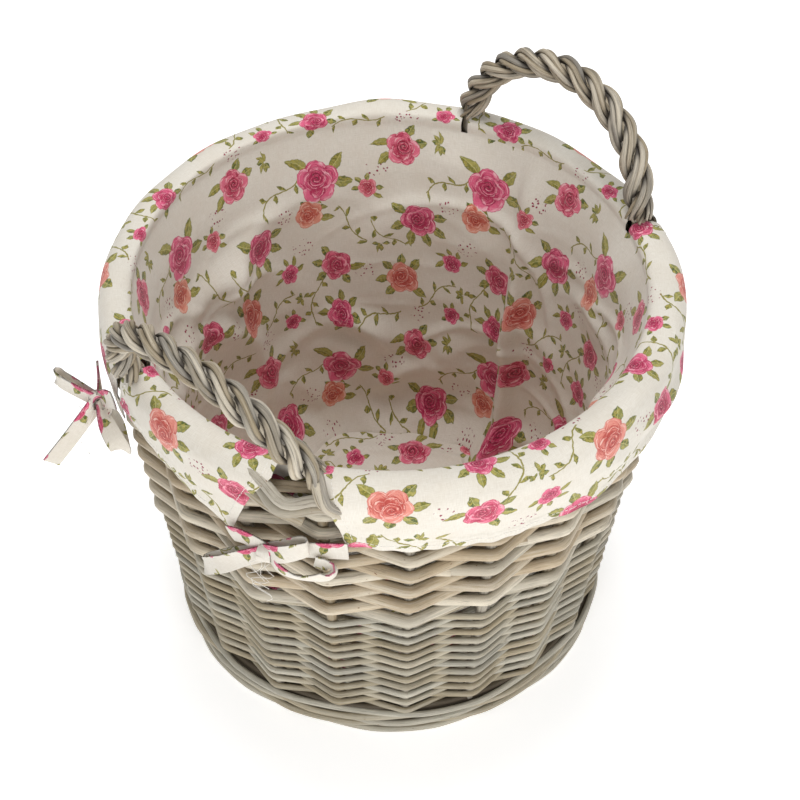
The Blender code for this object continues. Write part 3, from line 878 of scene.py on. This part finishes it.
def folds(angle, height, ridges, radius=0.165, tall=0.25):
    """Sum of the folds' heights, each a rounded ridge that bends and dies out along its length."""
    total = 0.0
    for middle, level, slant, length, width, depth in ridges:
        apart = between(angle, middle) * radius
        above = height - level * tall
        along = apart * cos(slant) + above * sin(slant)
        beside = above * cos(slant) - apart * sin(slant) + 6.0 * along * along
        total = total + depth * hump(along, length) * hump(beside, width)
    return total


SOFT_FOLDS = ridge_set(46, 11, 0.012)
FINE_FOLDS = ridge_set(70, 5, 0.005)
LOW_FOLDS = [(middle, 0.16 * level, 0.4 + 2 * slant, length, 1.2 * width, depth)
             for middle, level, slant, length, width, depth in ridge_set(22, 3, 0.011)]
FLOOR_FOLDS = [(middle, level, 3 * slant, 2.2 * length, 3.4 * width, depth)
               for middle, level, slant, length, width, depth in SOFT_FOLDS[:26]]
# Pressed creases: middle in degrees, height, half their length in degrees, rise along it.
PRESSED = ((37, 0.181, 17, 0.0), (47, 0.143, 14, 0.002), (95, 0.17, 16, -0.002), (-60, 0.165, 20, 0.0),
           (200, 0.16, 30, 0.0))


def inside_rim(angle, z):
    """Radius and height of the pocket's side where it hangs, with its folds standing into the basket."""
    inset = np.interp(z, (0.13, 0.152, 0.27, POCKET_TOP), (0.0102, 0.0138, 0.0138, RIM_INSET))
    free = np.interp(z, (0.262, POCKET_TOP), (1.0, 0.0))
    beside_legs = np.interp(z, (0.19, 0.207, 0.275, POCKET_TOP), (0, 1, 1, 0))
    inset = inset + 0.0056 * near_leg(angle, radians(9.0)) * beside_legs
    slack = 0.003 + 0.013 * folds(angle, z, SOFT_FOLDS) + 0.005 * folds(angle, z, FINE_FOLDS)
    slack = slack + 0.017 * folds(angle, z, LOW_FOLDS) * np.interp(z, (0.02, 0.1), (1.0, 0.2))
    for middle, level, half, rise in PRESSED:
        share = between(angle, radians(middle)) / radians(half)
        above = np.abs(z - level - rise * share - 0.0012 * np.sin(5 * share + radians(middle)))
        slack = slack + 0.0016 * np.exp(-above / 0.004) * np.clip(1.2 - np.abs(share), 0, 0.4) / 0.4
    beside_seam = between(angle - SEAM, 0.16 * (z - 0.18)) * 0.16
    pleat = 0.0135 * hump(beside_seam + 0.0085, 0.0085) - 0.003 * hump(beside_seam, 0.0028)
    slack = slack + pleat * np.interp(z, (0.03, 0.16, 0.2), (1.0, 0.9, 0.35))
    slack = slack - 0.002 * hump(between(angle, SEAM + pi) * 0.16, 0.0026)
    return wall(z) - inset - free * np.maximum(slack, 0.0), z + 0 * angle


def over_rim(angle, reach):
    """Radius and height at a distance of cloth past the pocket's top, over the border and down outside."""
    radius = np.interp(reach, OVER_REACH, OVER_LINE[:, 0])
    z = np.interp(reach, OVER_REACH, OVER_LINE[:, 1])
    free = np.clip(reach / 0.02, 0, 1)
    outer = np.clip((reach - 0.045) / 0.02, 0, 1)
    puff = (0.0018 * np.sin(3 * angle + 0.5) + 0.0015 * np.sin(8 * angle + 2.0)
            + 0.001 * np.sin(17 * angle + 60 * reach))
    sag = 0.0005 * np.cos(STAKES * (angle - PHASE)) + 0.005 * folds(angle, reach, SOFT_FOLDS, 0.2, 0.1)
    lift = hump(reach - 0.03, 0.018)
    radius = radius + free * free * (3 - 2 * free) * rim_pull(angle) + outer * (puff + sag) * 0.8
    z = z + free * lift * (puff * 0.7 + 0.0008 * np.sin(11 * angle)) * 0.9
    over_weave = np.clip((0.292 - z) / 0.012, 0, 1)
    return np.maximum(radius, wall(z) + 0.043 * over_weave - 0.03), z


def on_cloth(angle, middle, distance):
    """A place on a panel's flat cloth, narrower toward the floor. Distance is past the pocket's top."""
    narrow = np.interp(distance, (-0.27, 0.0), (0.165, PANEL_RADIUS))
    return np.stack(np.broadcast_arrays((angle - middle) * narrow, distance), axis=-1)


def add_pocket():
    """The pocket: a back and a front panel seamed together, and a floor, all slack inside the basket."""
    past_top = 0.0018
    z = np.linspace(POCKET_TOP, POCKET_LOW - past_top, 150)[:, None]
    edges = []
    for name, start in (("back", SEAM), ("front", SEAM + pi)):
        angle = np.linspace(start, start + pi, 211)[None]
        radius, height = inside_rim(angle, z)
        radius = radius - 0.012 * np.clip((0.05 - z) / 0.021, 0, 1) ** 2.2
        over = over_rim(angle, np.full((1, 1), past_top))
        grid = np.concatenate([polar(angle, *over), polar(angle, radius, height)])
        flat = on_cloth(angle, start + pi / 2, np.vstack([[[past_top]], (z - POCKET_TOP) * 1.01]))
        nodes = ["liner_pocket"] if name == "back" else ()
        panel = cloth_sheet(f"liner_pocket_{name}", grid, flat, nodes, edge_rows=1)
        edges.append(grid[-2])
    spread = np.linspace(1, 0.015, 80)[:, None]
    edge = np.concatenate([edges[0], edges[1][1:]])
    angle = np.linspace(SEAM, SEAM + tau, len(edge))[None]
    swell = folds(angle, spread, FLOOR_FOLDS, 0.12, 1.0) * np.sin(pi * np.clip(spread, 0, 1)) ** 0.6
    height = edge[None, :, 2] * spread**2 + (1 - spread**2) * 0.0282 + 0.0095 * swell
    place = edge[None, :, :2] * spread[..., None]
    grid = np.concatenate([place, np.maximum(height, 0.0272)[..., None]], axis=-1)
    floor = cloth_sheet("liner_pocket_floor", grid, grid[..., :2] + (0.31, 0.11))


def hem_reach(z):
    """Distance of cloth from the pocket's top to a hem at that height outside."""
    outer = OVER_LINE[:, 0].argmax()
    return np.interp(z, OVER_LINE[outer:, 1][::-1], OVER_REACH[outer:][::-1])


def add_cuff(node, top, hem, hem_line, middle):
    """A cuff or tongue. Top and hem are its side edges' angles in degrees at the rim and at the hem.

    The hem line gives angles and heights. Middle is the middle of the panel it is cut in one with.
    """
    rows = 96
    width = radians(top[1] - top[0]) * 0.2
    columns = max(24, int(width / 0.0021))
    share = np.linspace(0, 1, columns)[None]
    degrees, heights = zip(*hem_line)
    end = hem_reach(np.interp(hem[0] + (hem[1] - hem[0]) * share, degrees, heights))
    end = end + 0.0006 * np.sin(23 * share * width * 14) + 0.0004 * np.sin(61 * share * width * 5 + 1)
    step = 1 / (rows - 1)
    down = np.linspace(-step, 1 + step, rows + 2)[:, None]
    lean = np.clip((down - 0.3) / 0.7, 0, 1) ** 0.8
    start_edge = top[0] + (hem[0] - top[0]) * lean
    angle = np.radians(start_edge + (top[1] + (hem[1] - top[1]) * lean - start_edge) * share)
    reach = down * end
    radius, z = over_rim(angle, np.maximum(reach, 0))
    below, below_z = inside_rim(angle, POCKET_TOP + np.minimum(reach, 0))
    radius, z = np.where(down < 0, below, radius), np.where(down < 0, below_z, z)
    doubled = 0.0005 * np.clip((reach - end + 0.01) / 0.001, 0, 1)
    grid = polar(angle, radius + doubled, z)
    flat = on_cloth(angle, radians(middle), reach)
    cuff = cloth_sheet(f"{node}_cloth", grid, flat, [node], edge_rows=1)
    stitches = Rods(6)
    for line in (grid[-7, 3:-3], grid[20:-7, 3], grid[20:-7, -4]):
        line = line + (unit(line * (1, 1, 0)) * 0.9 + (0, 0, 0.4)) * 0.0006
        travel = travelled(line)
        for place in np.arange(0.001, travel[-1] - 0.003, STITCH_PITCH):
            stitches.add(spots_at((place, place + STITCH / 2, place + STITCH), travel, line), 0.00028)
    thread = stitches.make(f"{node}_cloth_stitches", "thread", "printed_cotton")


def ribbon(path, across, width, count=60, curl=0.12):
    """A grid for a tape along a smooth path. Across gives the direction of its width at each point."""
    both = smooth_path(np.hstack([np.asarray(path, float), np.asarray(across, float)]), count)
    line, side = both[:, :3], both[:, 3:]
    forward = unit(np.gradient(line, axis=0))
    side = unit(side - forward * (side * forward).sum(axis=1, keepdims=True))
    lift = np.cross(forward, side)[:, None]
    spread = np.linspace(-0.5, 0.5, 9)[None, :, None]
    grid = line[:, None] + side[:, None] * spread * width + lift * (curl * width * (0.25 - spread**2))
    reach = travelled(line)
    flat = np.stack(np.broadcast_arrays(reach[:, None] + 0.013, spread[..., 0] * width), axis=-1)
    return grid, flat, reach[-1]


# Each tape of a bow: degrees and metres up from the knot, and metres out from the wall, then its lean.
FRONT_BOW = (
    ("left_loop", (
        (0, 0, .024, 0), (-5, -.013, .027, .1), (-10, -.031, .028, 0), (-15.3, -.0495, .026, 0),
        (-16, -.0515, .0235, 0), (-14.8, -.048, .021, 0), (-10, -.031, .0205, 0), (-5, -.015, .0205, 0),
        (0, -.002, .0215, 0))),
    ("right_loop", (
        (0, .001, .024, 0), (3.5, .01, .028, 0), (7, .0195, .0285, .1), (8.6, .0225, .0262, 0),
        (7.6, .0205, .0225, 0), (4, .01, .021, 0), (0, 0, .0215, 0))),
    ("tail", (
        (0, -.001, .022, .2), (3, -.0065, .0285, .5), (7, -.0095, .03, .9), (11.5, -.006, .0275, .6),
        (12.4, .0015, .0245, .3), (9.5, .0045, .0232, .4))),
    ("feed_low", (
        (-8.5, -.001, .0185, .3), (-5.5, .004, .02, .2), (-2.5, .0035, .021, 0), (0, .001, .022, 0))),
    ("feed_high", (
        (15.6, .015, .0185, -.2), (11, .0135, .0195, -.1), (5, .0085, .02, 0), (0, .001, .0215, 0))),
)
BACK_BOW = (
    ("left_loop", (
        (0, 0, .027, .3), (-3, .001, .037, .3), (-6.5, .002, .048, .2), (-7.9, .001, .0475, .2),
        (-6.8, -.001, .041, .2), (-3.5, -.001, .032, .2), (0, 0, .025, .2))),
    ("tail", ((0, -.001, .027, .5), (.3, -.014, .04, .6), (.5, -.03, .056, .8), (.5, -.045, .071, .9))),
    ("right_loop", (
        (0, 0, .025, .6), (2.5, -.012, .027, 1), (4, -.03, .025, 1.3), (3, -.042, .022, 1.2),
        (.8, -.034, .02, 1), (.2, -.016, .022, .6), (0, -.002, .024, .4))),
    ("feed", ((5.5, .016, .019, 0), (3.5, .012, .021, 0), (1.5, .005, .023, .2), (0, .001, .025, .3))),
    ("feed_other", ((-4.5, .02, .018, 0), (-3, .013, .02, 0), (-1, .005, .023, .2), (0, .001, .025, .3))),
)


def add_bow(corner, angle, z, tapes, mirror):
    """A tied bow of cotton tape whose knot is at that angle and height."""
    name = f"tie_{corner}"
    for part, spots in tapes:
        path, across = [], []
        for turn, up, out, lean in spots:
            here = radians(angle + mirror * turn)
            path.append(polar(here, wall(z + up) + out, z + up))
            across.append(polar(here, 0.5 * sin(lean), cos(lean)))
        grid, flat, length = ribbon(path, across, TAPE_WIDTH)
        if mirror < 0:
            grid = grid[:, ::-1]
        cloth_sheet(f"{name}_{part}", grid, flat, thickness=TAPE)
    here = radians(angle)
    knot_out = tapes[0][1][0][2]
    middle = polar(here, wall(z) + knot_out, z)
    outward, along, up = polar(here, 1, 0), polar(here + pi / 2, 1, 0), np.array([0, 0, 1])
    loop = [middle + outward * 0.0042 * cos(turn) + up * 0.0062 * sin(turn)
            for turn in np.linspace(0, tau * 1.02, 9)]
    grid, flat, length = ribbon(loop, [along + up * 0.2] * len(loop), KNOT_WIDTH, 40, -0.12)
    knot = cloth_sheet(f"{name}_knot", grid, flat, [f"tie_bow_{corner}"], thickness=TAPE)
    threads = Rods(6)
    for number in range(4):
        start = middle + outward * 0.004 - up * 0.004 + along * (number - 1.5) * 0.003
        drop = [start + outward * 0.002 * k + along * RANDOM.normal(0, 0.002) * k - up * 0.004 * k
                for k in range(4 + number)]
        threads.add(smooth_path(drop, 14), 0.00022)
    threads.make(f"{name}_threads", "thread", "printed_cotton")


def add_liner():
    add_pocket()
    front_hem = ((209, .252), (224, .25), (239, .246), (257, .2445), (272, .245), (284, .25),
                 (300, .248), (326, .25))
    back_hem = ((20, .25), (60, .247), (90, .25), (125, .246), (156, .252))
    left_hem = ((153, .268), (160, .277), (175, .258), (183, .243), (188, .231))
    right_hem = ((-33, .245), (-20, .25), (-5, .252), (10, .262), (22, .27))
    add_cuff("liner_front_cuff", (206.5, 327.3), (211, 325.5), front_hem, 274)
    add_cuff("liner_back_cuff", (21.9, 155.2), (23.0, 153.4), back_hem, 94)
    add_cuff("liner_left_tongue", (157.8, 197.0), (155.4, 187.0), left_hem, 94)
    add_cuff("liner_right_tongue", (-30.7, 20.3), (-29.8, 20.0), right_hem, -86)
    add_bow("left_front", 196.0, 0.2365, FRONT_BOW, 1)
    add_bow("left_back", 150.5, 0.266, BACK_BOW, 1)
    add_bow("right_front", -27.0, 0.2365, FRONT_BOW, -1)
    add_bow("right_back", 11.0, 0.2365, FRONT_BOW, 1)


# ---------------- stage


def add_stage():
    mesh = bpy.data.meshes.new("floor")
    half = 6.0
    corners = [(-half, -half, 0), (half, -half, 0), (half, half, 0), (-half, half, 0)]
    mesh.from_pydata(corners, [], [(0, 1, 2, 3)])
    floor = place_in_scene("floor", mesh)
    floor.location.z = -0.0002
    s = Shade("floor_look")
    drift = s.noise(s.node("ShaderNodeTexCoord", {}, 3), 8.0)
    mesh.materials.append(s.finish(s.mix(drift, (0.93, 0.93, 0.93), (0.95, 0.95, 0.95)), 0.9))
    s.feed(s.shader, {"Emission Color": rgba((1.0, 1.0, 1.0)), "Emission Strength": 0.48})

    world = bpy.data.worlds.new("studio")
    world.use_nodes = True
    sky = world.node_tree.nodes["Background"].inputs
    sky["Color"].default_value = rgba((1.0, 1.0, 1.0))
    sky["Strength"].default_value = 0.3
    bpy.context.scene.world = world
    bpy.context.scene.view_settings.view_transform = "Standard"
    aim = Vector((0, 0, 0.15))
    for name, place, size, power in (("top", (0.3, 0.3, 2.2), 1.4, 30.0),
                                     ("left", (-1.6, -0.75, 0.8), 0.9, 9.5),
                                     ("right", (-0.75, -1.6, 0.8), 0.9, 9.5)):
        light = bpy.data.lights.new(name, "AREA")
        light.shape = "DISK"
        light.size = size
        light.energy = power
        lamp = place_in_scene(name, light)
        lamp.location = place
        lamp.rotation_euler = (aim - Vector(place)).to_track_quat("-Z", "Y").to_euler()


def add_camera():
    """The camera, aimed at the middle of the wall's height from its azimuth, elevation and distance."""
    target = Vector((0.0, 0.0, 0.1554))
    azimuth, elevation, distance = radians(-50.8), radians(46.05), 1.8064
    back = Vector(polar(azimuth - pi / 2, cos(elevation), sin(elevation)))
    lens = bpy.data.cameras.new("camera")
    lens.lens = 110.3
    lens.sensor_width = 36.0
    lens.shift_x = 0.0131
    lens.shift_y = 0.0387
    camera = place_in_scene("camera", lens)
    camera.location = target + back * distance
    camera.rotation_euler = (-back).to_track_quat("-Z", "Y").to_euler()
    bpy.context.scene.camera = camera


add_base()
add_foot()
add_rows("fine_row_rods", FOOT_TOP, FINE_TOP, 23, FINE_ROD, "fine", "fine_willow",
         [f"fine_rows_{n}" for n in range(1, 7)])
add_rows("coarse_row_rods", FINE_TOP, COARSE_TOP, 15, COARSE_ROD, "coarse", "coarse_willow",
         [f"coarse_rows_{n}" for n in range(1, 8)])
add_stakes()
for handle_side in HANDLES:
    add_handle(handle_side)
add_liner()
add_stage()
add_camera()
